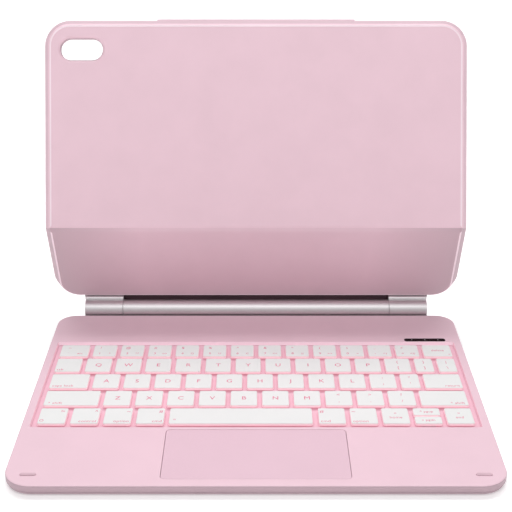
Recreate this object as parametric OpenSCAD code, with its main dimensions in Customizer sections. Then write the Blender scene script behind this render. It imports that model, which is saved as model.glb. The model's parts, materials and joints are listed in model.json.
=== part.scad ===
// Floating keyboard case for a 10.9 to 11 inch tablet, standing open.
// X runs left to right as the typist sees it, Y runs away from the typist and Z is up.
// The origin is the middle of the keyboard's footprint, on the table.

/* [Keyboard base] */
// Width of the keyboard base
base_w = 250; // [246:1:256]
// Depth of the keyboard base, front edge to back edge
base_d = 184.6; // [180:0.2:188]
// Height of the deck above the table
deck_top = 6.5; // [6.5:0.1:7.5]
// Corner radius at the front of the base
front_r = 14.5; // [8:0.5:18]
// Corner radius at the back of the base
back_r = 11; // [6:0.5:11]

/* [Lid] */
// Width of the lid at its back face
lid_w = 255.9; // [252:0.1:258]
// Distance from the hinge axis to the top edge of the lid
lid_reach = 190.6; // [186:0.1:192]
// Thickness of the lid
lid_t = 5; // [4.8:0.1:6]
// Corner radius of the lid
lid_r = 15.5; // [10:0.5:18]
// Size of the bevel round the lid's front face
bevel = 3.2; // [2.4:0.1:3.2]
// Distance from the hinge axis to the fold across the lid
fold_reach = 64.9; // [64:0.1:68]

/* [Pose at rest] */
// Angle that the lower lid panel has opened from closed
open_angle = 67.5; // [40:0.1:90]
// Bend at the fold
fold_angle = 45.3; // [0:0.1:60]

/* [Keys] */
// Corner radius of a key cap
key_r = 1.2; // [0.8:0.1:1.6]
// Gap between neighbouring keys
key_gap = 2.5; // [2:0.1:3]
// How far a key travels
key_travel = 1.0; // [0.8:0.1:1.0]

/* [Trackpad] */
// Width of the trackpad
pad_w = 94.3; // [80:0.1:100]
// Depth of the trackpad
pad_d = 44.2; // [36:0.1:45]

/* [Hidden] */

pink = [0.95, 0.80, 0.84];
deep_pink = [0.96, 0.62, 0.71];
metal = [0.80, 0.80, 0.81];
steel = [0.55, 0.56, 0.58];
white = [0.97, 0.96, 0.96];
rubber_pink = [0.80, 0.62, 0.67];

// Heights in the base, measured from the table
foot_h = 0.7;
floor_top = foot_h + 1.0;
seam_z = 2.9;
deck_under = deck_top - 1.2;
tray_bottom = 3.6;
tray_top = 4.1;
key_bottom = deck_top - 1.15;
key_top = deck_top + 0.35;
cap_t = 0.8;
cap_wall = 0.9;
dome_h = key_top - cap_t - key_travel - tray_top - 0.25;
wall = 1.5;
seam_step = 0.4;
post_r = 2.1;
pocket_d = 0.6;
right = base_w / 2;
rear = base_d / 2;
front = -base_d / 2;

// Key field: the well, and the rows counted from the back
well_half_w = 120.3;
well_front = front + 53;
well_back = front + 148.3;
well_r = 1.5;
row_y = [for (d = [136.8, 119.4, 100.9, 82.2, 63.7]) front + d];
row_depth = [14.2, 15.8, 15.8, 15.8, 15.8];
field_left = -117;
letter_pitch = 17.5;
letter_w = letter_pitch - key_gap;
number_pitch = 16.44;
number_w = number_pitch - key_gap;
escape_w = 17.1;
delete_w = -field_left * 2 - escape_w - key_gap - 12 * number_pitch;
tab_w = 14.9;
brace_w = 10.8;
caps_w = 21.8;
quote_w = 10.9;
left_shift_w = 30.3;
first_number_x = field_left + escape_w + key_gap;
first_q_x = field_left + tab_w + key_gap;
first_a_x = field_left + caps_w + key_gap;
first_z_x = field_left + left_shift_w + key_gap;
left_mod_pitch = 17.55;
left_mod_w = left_mod_pitch - key_gap;
space_left = field_left + 4 * left_mod_pitch;
space_w = 77.3;
space_gap = 3.1;
first_right_mod_x = space_left + space_w + space_gap;
right_mod_pitch = (-field_left - first_right_mod_x + key_gap) / 5;
right_mod_w = right_mod_pitch - key_gap;
arrow_gap = 1.2;

// Trackpad and the small parts on the deck
pad_y = front + 6.2 + pad_d / 2;
pad_gap = 0.3;
pad_r = 2.2;
window_x = 103.2;
window_y = front + 151.1;
window_size = [25, 3.8];
bumper_size = [8.1, 2.2];
bumper_x = 113;
bumper_y = front + 9.7;
port_y = 64;
port_z = 3.5;
switch_y = 75.2;
foot_at = [96, 79];
foot_size = [24, 7];
foot_sunk = 0.3;
middle_foot_r = 6;
screw_spots = [for (side = [-1, 1]) each [
    [side * 112, front + 6.5], [side * 60, front + 5.4], [side * 100, rear - 5.5]]];

// Hinge: its axis runs along X behind the base
axis_y = rear + 6.7;
axis_z = deck_top + 1.3;
barrel_r = 6;
barrel_half = 85;
knuckle_in = barrel_half + 0.15;
knuckle_out = knuckle_in + 24.2;
pin_r = 2;
bracket_half = 80;
spine_half = knuckle_out + 1.2;
spine_r = 7.1;
spine_t = 0.7;
spine_gap = 0.1;

// Lid: s is the distance from the hinge axis, n the height over it with the lid closed
inner_n = 5.7;
outer_n = inner_n + lid_t;
lid_start = 6.7;
skin_t = 1.0;
bottom_bevel = 0.12; // the bevel along the hinge edge, as a share of the other edges' bevel
shell_n = inner_n + 3.1;
soft_half = 3.5;
board_inset = 6;
camera_size = [25.6, 13];
camera_x = -105.3;
camera_s = lid_reach - 17.8;
camera_bevel = 1.4;
flap_w = 120;
flap_len = 46;
flap_t = 1.2;
flap_bead_r = 0.8;
flap_n = outer_n + 0.9;
eps = 0.02;

// Outlines --------------------------------------------------------------

// Points along an arc about c
function arc(c, r, a0, a1, steps) =
    [for (i = [0 : steps]) c + r * [cos(a0 + (a1 - a0) * i / steps), sin(a0 + (a1 - a0) * i / steps)]];

// Rectangle from corner p to corner q, with one radius at low y and another at high y
function rounded(p, q, r_low, r_high, steps = 6) = concat(
    arc([p[0] + r_low, p[1] + r_low], r_low, 180, 270, steps),
    arc([q[0] - r_low, p[1] + r_low], r_low, 270, 360, steps),
    arc([q[0] - r_high, q[1] - r_high], r_high, 0, 90, steps),
    arc([p[0] + r_high, q[1] - r_high], r_high, 90, 180, steps));

module plate(p, q, z0, z1, r_low, r_high, steps = 6)
    translate([0, 0, z0])
        linear_extrude(z1 - z0) polygon(rounded(p, q, r_low, r_high, steps));

module box(x0, x1, y0, y1, z0, z1)
    translate([x0, y0, z0]) cube([x1 - x0, y1 - y0, z1 - z0]);

// Upright stadium with its long side on X
module pill(c, size, z0, z1, grow = 0)
    plate(c - size / 2 - [grow, grow], c + size / 2 + [grow, grow], z0, z1,
          size[1] / 2 + grow - eps, size[1] / 2 + grow - eps);

module both_sides() {
    children();
    mirror([1, 0, 0]) children();
}

// Keyboard base ----------------------------------------------------------

module base_plate(z0, z1, inset)
    plate([-right + inset, front + inset], [right - inset, rear - inset], z0, z1,
          front_r - inset, back_r - inset, 8);

module port_opening()
    translate([right - 8, port_y, port_z]) rotate([90, 0, 90])
        pill([0, 0], [9.4, 3.5], 0, 12);

module deck() color(pink) {
    difference() {
        base_plate(seam_z, deck_top, 0);
        base_plate(seam_z - 1, deck_under, wall);
        plate([-well_half_w, well_front], [well_half_w, well_back], deck_under - 1, deck_top + 1,
              well_r, well_r);
        plate([-pad_w / 2 - pad_gap, pad_y - pad_d / 2 - pad_gap],
              [pad_w / 2 + pad_gap, pad_y + pad_d / 2 + pad_gap], deck_under - 1, deck_top + 1,
              pad_r + pad_gap, pad_r + pad_gap);
        pill([window_x, window_y], window_size, deck_top - pocket_d, deck_top + 1, 0.05);
        for (side = [-1, 1])
            pill([side * bumper_x, bumper_y], bumper_size, deck_top - pocket_d, deck_top + 1, 0.05);
        box(-bracket_half - 0.3, bracket_half + 0.3, rear - 4, rear + 1, seam_z - 1, 5.2);
        port_opening();
        box(right - 3, right + 1, switch_y - 3, switch_y + 3, seam_z - 1, 4.9);
    }
    for (spot = screw_spots) difference() {
        translate([spot[0], spot[1], floor_top])
            cylinder(h = deck_under - floor_top + 0.2, r = post_r, $fn = 32);
        translate([spot[0], spot[1], floor_top - 1])
            cylinder(h = 4, r = 0.85, $fn = 32);
    }
}

module bottom_cover() color(pink) difference() {
    base_plate(foot_h, seam_z, seam_step);
    base_plate(floor_top, seam_z + 1, wall);
    port_opening();
    for (spot = screw_spots) translate([spot[0], spot[1], 0]) {
        cylinder(h = 3, r = 0.95, $fn = 32);
        cylinder(h = foot_h + 0.5, r = 1.8, $fn = 32);
    }
    feet(0.02);
}

// Four long feet near the corners, and a round one that props the middle under typing
module feet(grow) {
    for (x = [-1, 1], y = [-1, 1])
        pill([x * foot_at[0], y * foot_at[1]], foot_size, 0, foot_h + foot_sunk, grow);
    cylinder(h = foot_h + foot_sunk, r = middle_foot_r + grow, $fn = 64);
}

module rubber_feet() color(rubber_pink) feet(0);

module bottom_screws() color(steel)
    for (spot = screw_spots) translate([spot[0], spot[1], foot_h + 0.05]) {
        cylinder(h = 0.45, r = 1.7, $fn = 32);
        cylinder(h = 3.4, r = 0.8, $fn = 32);
    }

module front_bumpers() color(rubber_pink)
    for (side = [-1, 1])
        pill([side * bumper_x, bumper_y], bumper_size, deck_top - pocket_d, deck_top + 0.5);

module indicator_window() color([0.03, 0.03, 0.04])
    pill([window_x, window_y], window_size, deck_top - pocket_d, deck_top - 0.02);

// Tray under the keys, with a rim that closes the well
module key_tray() color(deep_pink) difference() {
    plate([-well_half_w - 1.4, well_front - 1.4], [well_half_w + 1.4, well_back + 1.4],
          tray_bottom, deck_under, 1.5, 1.5);
    plate([-well_half_w - 0.2, well_front - 0.2], [well_half_w + 0.2, well_back + 0.2],
          tray_top, deck_top, 1.4, 1.4);
}

module switch_membrane() color([0.85, 0.86, 0.88])
    box(-well_half_w, well_half_w, well_front, well_back, tray_bottom - 0.6, tray_bottom);

module circuit_board() color([0.12, 0.42, 0.28]) {
    box(-60, right - 7.8, 58, 73.5, 2.4, 3.2);
    for (x = [-55, 0, 55, 108], y = [60.5, 71])
        translate([x, y, floor_top]) cylinder(h = 0.8, r = 1.2, $fn = 32);
    for (chip = [[-40, 9, 1.0], [-12, 6, 0.8], [22, 12, 1.2], [62, 7, 0.9], [95, 8, 1.1]])
        box(chip[0], chip[0] + chip[1], 62, 62 + chip[1] * 0.7, 3.2, 3.2 + chip[2]);
}

module battery_cells() color([0.75, 0.76, 0.78])
    both_sides() plate([56, -80.5], [118, -45], floor_top, 4.8, 1.5, 1.5);

// Charging socket: a thin metal shell with a contact tongue inside
module charging_port() color(metal)
    translate([right - 7.6, port_y, port_z]) rotate([90, 0, 90]) {
        difference() {
            pill([0, 0], [9.0, 3.2], 0, 7.3);
            pill([0, 0], [8.4, 2.6], 0.6, 9);
        }
        translate([-3.3, -0.35, 0.4]) cube([6.6, 0.7, 5.6]);
    }

// Slider of the power switch, held behind the side wall by its flange
module power_switch() color([0.90, 0.72, 0.77]) {
    box(right - wall - 0.9, right + 0.3, switch_y - 2.8, switch_y + 0.4, 3.2, 4.6);
    box(right - wall - 1.1, right - wall - 0.3, switch_y - 3.6, switch_y + 1.2, 3.05, 4.95);
}

module trackpad() color([0.93, 0.76, 0.81])
    plate([-pad_w / 2, pad_y - pad_d / 2], [pad_w / 2, pad_y + pad_d / 2],
          deck_top - 1.1, deck_top - 0.1, pad_r, pad_r);

// Spring plate under the trackpad, on four posts
module trackpad_frame() color(steel) {
    box(-pad_w / 2 - 4, pad_w / 2 + 4, pad_y - 20, pad_y + 20, 3.7, 4.5);
    for (x = [-1, 1], y = [-1, 1])
        translate([x * (pad_w / 2 + 2.4), pad_y + y * 17, 4.4])
            cylinder(h = deck_under - 4.4, r = 1.2, $fn = 32);
}

// Keys -------------------------------------------------------------------

// A cap is a thin shell: a top plate and a skirt
module key_cap(x, y, w, d) color(white) difference() {
    plate([x, y - d / 2], [x + w, y + d / 2], key_bottom, key_top, key_r, key_r, 3);
    plate([x + cap_wall, y - d / 2 + cap_wall], [x + w - cap_wall, y + d / 2 - cap_wall],
          key_bottom - 1, key_top - cap_t, 0.5, 0.5, 2);
}

// Keys are listed as [left edge, middle of the row, width, depth]
function key_in(row, x, w) = [x, row_y[row], w, row_depth[row]];

row_letters = ["", "qwertyuiop", "asdfghjkl", "zxcvbnm"];
row_first_x = [0, first_q_x, first_a_x, first_z_x];
function row_end_x(row) = row_first_x[row] + len(row_letters[row]) * letter_pitch;

function letter_keys(wanted) = [
    for (row = [1 : 3], i = [0 : len(row_letters[row]) - 1])
        if (wanted == "" || row_letters[row][i] == wanted)
            key_in(row, row_first_x[row] + i * letter_pitch, letter_w)];

number_keys = concat(
    [key_in(0, field_left, escape_w)],
    [for (i = [0 : 11]) key_in(0, first_number_x + i * number_pitch, number_w)],
    [key_in(0, first_number_x + 12 * number_pitch, delete_w)]);

// A key that runs from x to the right end of the key field
function last_key(row, x) = key_in(row, x, -field_left - x);

side_keys = [
    key_in(1, field_left, tab_w), key_in(1, row_end_x(1), letter_w),
    key_in(1, row_end_x(1) + letter_pitch, brace_w),
    last_key(1, row_end_x(1) + letter_pitch + brace_w + key_gap),
    key_in(2, field_left, caps_w), key_in(2, row_end_x(2), letter_w),
    key_in(2, row_end_x(2) + letter_pitch, quote_w),
    last_key(2, row_end_x(2) + letter_pitch + quote_w + key_gap),
    key_in(3, field_left, left_shift_w),
    for (i = [0 : 2]) key_in(3, row_end_x(3) + i * letter_pitch, letter_w),
    last_key(3, row_end_x(3) + 3 * letter_pitch)];

// The arrow keys for up and down share the fourth place right of the space bar
arrow_d = (row_depth[4] - arrow_gap) / 2;
function right_mod_x(i) = first_right_mod_x + i * right_mod_pitch;
bottom_keys = concat(
    [for (i = [0 : 3]) key_in(4, field_left + i * left_mod_pitch, left_mod_w)],
    [for (i = [0, 1, 2, 4]) key_in(4, right_mod_x(i), right_mod_w)],
    [for (side = [-1, 1])
        [right_mod_x(3), row_y[4] + side * (arrow_d + arrow_gap) / 2, right_mod_w, arrow_d]]);

space_keys = [key_in(4, space_left, space_w)];

module key_caps(keys)
    for (k = keys) key_cap(k[0], k[1], k[2], k[3]);

all_keys = concat(letter_keys(""), number_keys, side_keys, bottom_keys, space_keys);

// Rubber domes, drawn at their pressed height
module rubber_domes() color([0.93, 0.93, 0.92])
    for (k = all_keys)
        translate([k[0] + k[2] / 2, k[1], tray_top]) cylinder(h = dome_h, r = 1.7, $fn = 24);

// Folded scissor levers round each dome
lever_reach = 4;
lever_w = 1;
lever_t = 0.6;
module scissor_frames() color([0.90, 0.90, 0.90])
    for (k = all_keys) {
        x = k[0] + k[2] / 2;
        half_d = min(k[3] / 2 - 1.3, lever_reach + 0.2);
        difference() {
            box(x - lever_reach, x + lever_reach, k[1] - half_d, k[1] + half_d,
                tray_top, tray_top + lever_t);
            box(x - lever_reach + lever_w, x + lever_reach - lever_w,
                k[1] - half_d + lever_t, k[1] + half_d - lever_t, tray_top - 1, tray_top + 1);
        }
    }

// Hinge ------------------------------------------------------------------

module along_x(x0, x1, r, steps = 64)
    translate([x0, axis_y, axis_z]) rotate([0, 90, 0]) cylinder(h = x1 - x0, r = r, $fn = steps);

// Barrel, fixed to the base by a flat bracket through the back wall
module hinge_barrel() color(metal) difference() {
    union() {
        along_x(-barrel_half, barrel_half, barrel_r);
        box(-bracket_half, bracket_half, rear - 11, axis_y - 3.4, 3.3, 5.0);
    }
    along_x(-barrel_half - 1, -barrel_half + 14, pin_r + 0.05);
    along_x(barrel_half - 14, barrel_half + 1, pin_r + 0.05);
}

module hinge_pins() color(steel) both_sides()
    along_x(barrel_half - 13, knuckle_out - 4, pin_r);

// Puts its children, drawn with the lid closed flat, on the lower panel as it stands
module on_lower_panel()
    translate([0, axis_y, axis_z]) rotate([-open_angle, 0, 0]) children();

// The same for the upper panel, beyond the fold
fold_n = inner_n + lid_t / 2;
module on_upper_panel()
    on_lower_panel() translate([0, -fold_reach, fold_n]) rotate([-fold_angle, 0, 0])
        translate([0, fold_reach, -fold_n]) children();

// Knuckle with its arm and the leaf that goes into the lower panel
module knuckle() on_lower_panel() {
    difference() {
        union() {
            translate([knuckle_in, 0, 0]) rotate([0, 90, 0])
                cylinder(h = knuckle_out - knuckle_in, r = barrel_r, $fn = 64);
            translate([knuckle_in, 0, 0]) rotate([90, 0, 90])
                linear_extrude(knuckle_out - knuckle_in)
                    polygon(concat([[0, 0], [1, barrel_r - 1], [-lid_start + 0.2, 9]],
                                   arc([-lid_start + 1.7, 4.5], 1.5, 180, 270, 4), [[0, 3]]));
        }
        translate([knuckle_in - 1, 0, 0]) rotate([0, 90, 0])
            cylinder(h = knuckle_out - 4 - knuckle_in + 1, r = pin_r, $fn = 64);
    }
    box(knuckle_in + 1, knuckle_out - 1, -24, -lid_start + 1.5, inner_n + 1.5, inner_n + 2.8);
}

module hinge_knuckle_right() color(metal) knuckle();
module hinge_knuckle_left() color(metal) mirror([1, 0, 0]) knuckle();

// Soft spine: from under the base, round the hinge, up to the lid's outer skin
spine_end = [lid_start * -cos(open_angle) + outer_n * sin(open_angle),
             lid_start * sin(open_angle) + outer_n * cos(open_angle)];
module spine_skin() color(pink)
    translate([-spine_half, axis_y, axis_z]) rotate([90, 0, 90]) linear_extrude(2 * spine_half)
        polygon(concat(
            [[rear - axis_y + 0.1, -spine_r]], arc([0, 0], spine_r, -90, 0, 10),
            [spine_end - [0, spine_gap]],
            [spine_end - [spine_t, spine_gap + spine_t / tan(open_angle)]],
            arc([0, 0], spine_r - spine_t, 0, -90, 10),
            [[rear - axis_y + 0.1, -spine_r + spine_t]]));

// Lid --------------------------------------------------------------------

// Lid plate between two distances from the hinge axis, in the closed frame.
// top and bottom are 1 where that end is an end of the lid, with its round corners and its bevel.
module lid_plate(s0, s1, n0, n1, inset, top, bottom)
    plate([-lid_w / 2 + inset, -s1 + top * inset],
          [lid_w / 2 - inset, -s0 - bottom * bottom_bevel * inset], n0, n1,
          max(top * (lid_r - inset), 0.1), max(bottom * (lid_r - inset), 0.1), 6);

// Sloping band of the bevel between two depths below the front face
module bevelled(s0, s1, d0, d1, top, bottom) hull() {
    lid_plate(s0, s1, inner_n + d0, inner_n + d0 + eps, bevel - d0, top, bottom);
    lid_plate(s0, s1, inner_n + d1 - eps, inner_n + d1, bevel - d1, top, bottom);
}

soft_low = fold_reach - soft_half;
soft_high = fold_reach + soft_half;
board_n0 = inner_n + skin_t;

module camera_hole(n0, n1, grow = 0)
    pill([camera_x, -camera_s], camera_size, n0, n1, grow);

module upper_inner_face() color(pink) on_upper_panel() difference() {
    bevelled(soft_high, lid_reach, 0, skin_t, 1, 0);
    hull() {
        camera_hole(inner_n - eps, inner_n, camera_bevel);
        camera_hole(inner_n + camera_bevel, inner_n + camera_bevel + eps);
    }
    camera_hole(inner_n - 1, outer_n);
}

// Outer shell: a back plate with a bevelled rim that holds the board
module outer_shell(s0, s1, top, bottom) difference() {
    union() {
        bevelled(s0, s1, skin_t, 3.1, top, bottom);
        lid_plate(s0, s1, shell_n, outer_n, 0, top, bottom);
    }
    lid_plate(s0 - 1 + bottom, s1 + 1 - top, board_n0 - 1, shell_n, board_inset, top, bottom);
}

module upper_outer_shell() color(pink) on_upper_panel() difference() {
    outer_shell(soft_high, lid_reach, 1, 0);
    camera_hole(inner_n - 1, outer_n + 1);
}

magnet_x = [for (i = [0 : 5]) 30 + i * 12];
magnet_s = [88, lid_reach - 30];

module upper_board() color([0.86, 0.84, 0.80]) on_upper_panel() difference() {
    lid_plate(soft_high, lid_reach, board_n0, shell_n, board_inset + 0.2, 1, 0);
    camera_hole(inner_n, outer_n, 1.5);
    for (side = [-1, 1], x = magnet_x, s = magnet_s)
        box(side * x - 5, side * x + 5, -s - 4, -s + 4, board_n0 - 1, board_n0 + 1.5);
}

module tablet_magnets() color(steel) on_upper_panel()
    for (side = [-1, 1], x = magnet_x, s = magnet_s)
        box(side * x - 4.9, side * x + 4.9, -s - 3.9, -s + 3.9, board_n0, board_n0 + 1.5);

module lower_inner_skin() color(pink) on_lower_panel()
    bevelled(lid_start, soft_low, 0, skin_t, 0, 1);

module lower_outer_skin() color(pink) on_lower_panel() difference() {
    outer_shell(lid_start, soft_low, 0, 1);
    both_sides() box(knuckle_in + 0.7, knuckle_out - 0.7, -24.4, 0, inner_n, shell_n);
}

module lower_board() color([0.86, 0.84, 0.80]) on_lower_panel() difference() {
    lid_plate(lid_start, soft_low, board_n0, shell_n, board_inset + 0.2, 0, 1);
    both_sides() box(knuckle_in + 0.7, knuckle_out - 0.7, -24.4, 0, inner_n, outer_n);
}

// Soft strip between the two panels, bent about the fold
fold_at = [-fold_reach, fold_n];
half_t = lid_t / 2 - 0.05;
strip_end = soft_half - eps;
function bent(y, n) = fold_at + [y * cos(fold_angle) + n * sin(fold_angle),
                                 -y * sin(fold_angle) + n * cos(fold_angle)];
module fold_skin() color(pink) on_lower_panel()
    translate([-lid_w / 2 + bevel, 0, 0]) rotate([90, 0, 90]) linear_extrude(lid_w - 2 * bevel)
        polygon(concat(
            [fold_at + [strip_end, -half_t]],
            arc(fold_at, half_t, -90, -90 - fold_angle, 8),
            [bent(-strip_end, -half_t), bent(-strip_end, half_t),
             fold_at + half_t / cos(fold_angle / 2) * [sin(fold_angle / 2), cos(fold_angle / 2)],
             fold_at + [strip_end, half_t]]));

// Flap that holds a pencil, folded back behind the lid; it turns about its bead
module pencil_flap() color(pink) on_upper_panel() translate([-flap_w / 2, -lid_reach, 0]) {
    translate([0, 0, flap_n]) rotate([0, 90, 0]) cylinder(h = flap_w, r = flap_bead_r, $fn = 32);
    box(0, flap_w, 0, flap_len, flap_n - 0.4, flap_n - 0.4 + flap_t);
}

deck();
bottom_cover();
key_tray();
switch_membrane();
rubber_domes();
scissor_frames();
circuit_board();
battery_cells();
trackpad_frame();
trackpad();
indicator_window();
charging_port();
power_switch();
rubber_feet();
front_bumpers();
bottom_screws();
hinge_barrel();
hinge_pins();
hinge_knuckle_left();
hinge_knuckle_right();
spine_skin();
lower_board();
lower_inner_skin();
lower_outer_skin();
fold_skin();
upper_board();
upper_inner_face();
upper_outer_shell();
tablet_magnets();
pencil_flap();
key_caps(letter_keys("a"));  // key_a
key_caps(letter_keys("b"));  // key_b
key_caps(letter_keys("c"));  // key_c
key_caps(letter_keys("d"));  // key_d
key_caps(letter_keys("e"));  // key_e
key_caps(letter_keys("f"));  // key_f
key_caps(letter_keys("g"));  // key_g
key_caps(letter_keys("h"));  // key_h
key_caps(letter_keys("i"));  // key_i
key_caps(letter_keys("j"));  // key_j
key_caps(letter_keys("k"));  // key_k
key_caps(letter_keys("l"));  // key_l
key_caps(letter_keys("m"));  // key_m
key_caps(letter_keys("n"));  // key_n
key_caps(letter_keys("o"));  // key_o
key_caps(letter_keys("p"));  // key_p
key_caps(letter_keys("q"));  // key_q
key_caps(letter_keys("r"));  // key_r_letter
key_caps(letter_keys("s"));  // key_s
key_caps(letter_keys("t"));  // key_t
key_caps(letter_keys("u"));  // key_u
key_caps(letter_keys("v"));  // key_v
key_caps(letter_keys("w"));  // key_w
key_caps(letter_keys("x"));  // key_x
key_caps(letter_keys("y"));  // key_y
key_caps(letter_keys("z"));  // key_z
key_caps(space_keys);  // space_bar
key_caps(number_keys);  // number_row_keys
key_caps(side_keys);  // side_and_punctuation_keys
key_caps(bottom_keys);  // bottom_row_keys
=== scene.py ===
"""Looks of a floating tablet keyboard case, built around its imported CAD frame.

Lengths are written in millimetres and turned into metres by MM as the points are made. The
floor, the lights and the camera are placed in metres.
"""
import json
import math

import bmesh
import bpy
from mathutils import Matrix, Vector
from mathutils.geometry import tessellate_polygon


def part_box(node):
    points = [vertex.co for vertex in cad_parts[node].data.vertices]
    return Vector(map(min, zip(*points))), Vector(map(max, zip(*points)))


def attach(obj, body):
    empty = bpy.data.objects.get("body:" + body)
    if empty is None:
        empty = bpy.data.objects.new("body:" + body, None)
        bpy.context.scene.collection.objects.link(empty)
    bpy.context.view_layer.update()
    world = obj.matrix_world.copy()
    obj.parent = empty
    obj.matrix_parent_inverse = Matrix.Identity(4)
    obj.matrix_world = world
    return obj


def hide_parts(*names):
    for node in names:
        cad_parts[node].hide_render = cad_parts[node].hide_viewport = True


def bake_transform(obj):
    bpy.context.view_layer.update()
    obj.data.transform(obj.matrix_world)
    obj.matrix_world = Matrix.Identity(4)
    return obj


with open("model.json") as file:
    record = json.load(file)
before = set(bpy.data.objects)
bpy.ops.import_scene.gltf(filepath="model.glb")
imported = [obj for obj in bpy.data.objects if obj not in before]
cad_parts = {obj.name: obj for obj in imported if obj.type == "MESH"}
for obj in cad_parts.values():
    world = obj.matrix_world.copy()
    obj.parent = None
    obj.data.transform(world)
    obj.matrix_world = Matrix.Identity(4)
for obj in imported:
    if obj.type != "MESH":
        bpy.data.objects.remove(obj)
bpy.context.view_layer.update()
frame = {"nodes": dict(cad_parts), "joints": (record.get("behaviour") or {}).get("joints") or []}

MM = 0.001
JOINTS = {j["name"]: j for j in frame["joints"]}

# ---- sizes from the frame


def joint_point(name):
    """A joint's place in the YZ plane, in millimetres."""
    pos = JOINTS[name]["pos_m"]
    return pos[1] / MM, pos[2] / MM


def node_box(node):
    """A CAD node's lowest and highest corners, in millimetres."""
    low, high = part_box(node)
    return [v / MM for v in low], [v / MM for v in high]


AXIS = joint_point("base_hinge")
OPEN = math.radians(-JOINTS["base_hinge"]["range_deg"][0])  # the lower panel's slope at rest
BEND = math.radians(-JOINTS["fold_hinge"]["range_deg"][0])  # the bend at the fold at rest
DECK_LOW, DECK_HIGH = node_box("deck")
COVER_LOW = node_box("bottom_cover")[0]
DECK_TOP = DECK_HIGH[2]
SEAM = 2.9  # height of the seam between the base's two shells
FRONT_R, BACK_R = 14.5, 11.0  # the base's corners, seen from above
LID_HALF = node_box("upper_outer_shell")[1][0]
LID_T = 5.0
LID_R = 15.5
BEVEL = 3.2  # width of the bevel round the lid's front
SKIN_T = 1.0  # thickness of the lid's inner skin
LID_START = 6.7  # from the hinge axis to the lid's lower edge
INNER_N = 5.7  # from the hinge axis to the lid's inner face, square to the lid
MID_N = INNER_N + LID_T / 2


def lower_yz(s, n):
    """The YZ point at distance s from the hinge axis along the lower panel, n above it."""
    y = AXIS[0] - s * math.cos(OPEN) + n * math.sin(OPEN)
    z = AXIS[1] + s * math.sin(OPEN) + n * math.cos(OPEN)
    return y, z


def along_lower(point):
    """How far a YZ point lies from the hinge axis along the lower panel."""
    return -(point[0] - AXIS[0]) * math.cos(OPEN) + (point[1] - AXIS[1]) * math.sin(OPEN)


FOLD = joint_point("fold_hinge")
FOLD_S = along_lower(FOLD)


def upper_yz(s, n):
    """The same for the upper panel, beyond the fold."""
    a = OPEN + BEND
    ds, dn = s - FOLD_S, n - MID_N
    return FOLD[0] - ds * math.cos(a) + dn * math.sin(a), FOLD[1] + ds * math.sin(a) + dn * math.cos(a)


def along_upper(point):
    """How far along the lid a YZ point on the upper panel lies."""
    a = OPEN + BEND
    return FOLD_S - (point[0] - FOLD[0]) * math.cos(a) + (point[1] - FOLD[1]) * math.sin(a)


LID_END = along_upper(joint_point("flap_hinge"))
BOTTOM_BEVEL = 0.12  # the bevel along the hinge edge, as a share of the other edges' bevel
CREASE = 2.0  # half the length of the soft stretch at the fold, along the middle of the lid


def lid_point(x, s, n):
    """A point of the lid: x across, s from the hinge axis along the lid, n through it."""
    if s <= FOLD_S - CREASE:
        y, z = lower_yz(s, n)
    elif s >= FOLD_S + CREASE:
        y, z = upper_yz(s, n)
    else:
        radius = CREASE / math.tan(BEND / 2)
        share = (s - FOLD_S + CREASE) / (2 * CREASE)
        start = lower_yz(FOLD_S - CREASE, MID_N + radius)
        turn = OPEN + BEND * share
        reach = MID_N + radius - n
        y = start[0] - reach * math.sin(turn)
        z = start[1] - reach * math.cos(turn)
    return Vector((x, y, z)) * MM


# ---- materials


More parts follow.
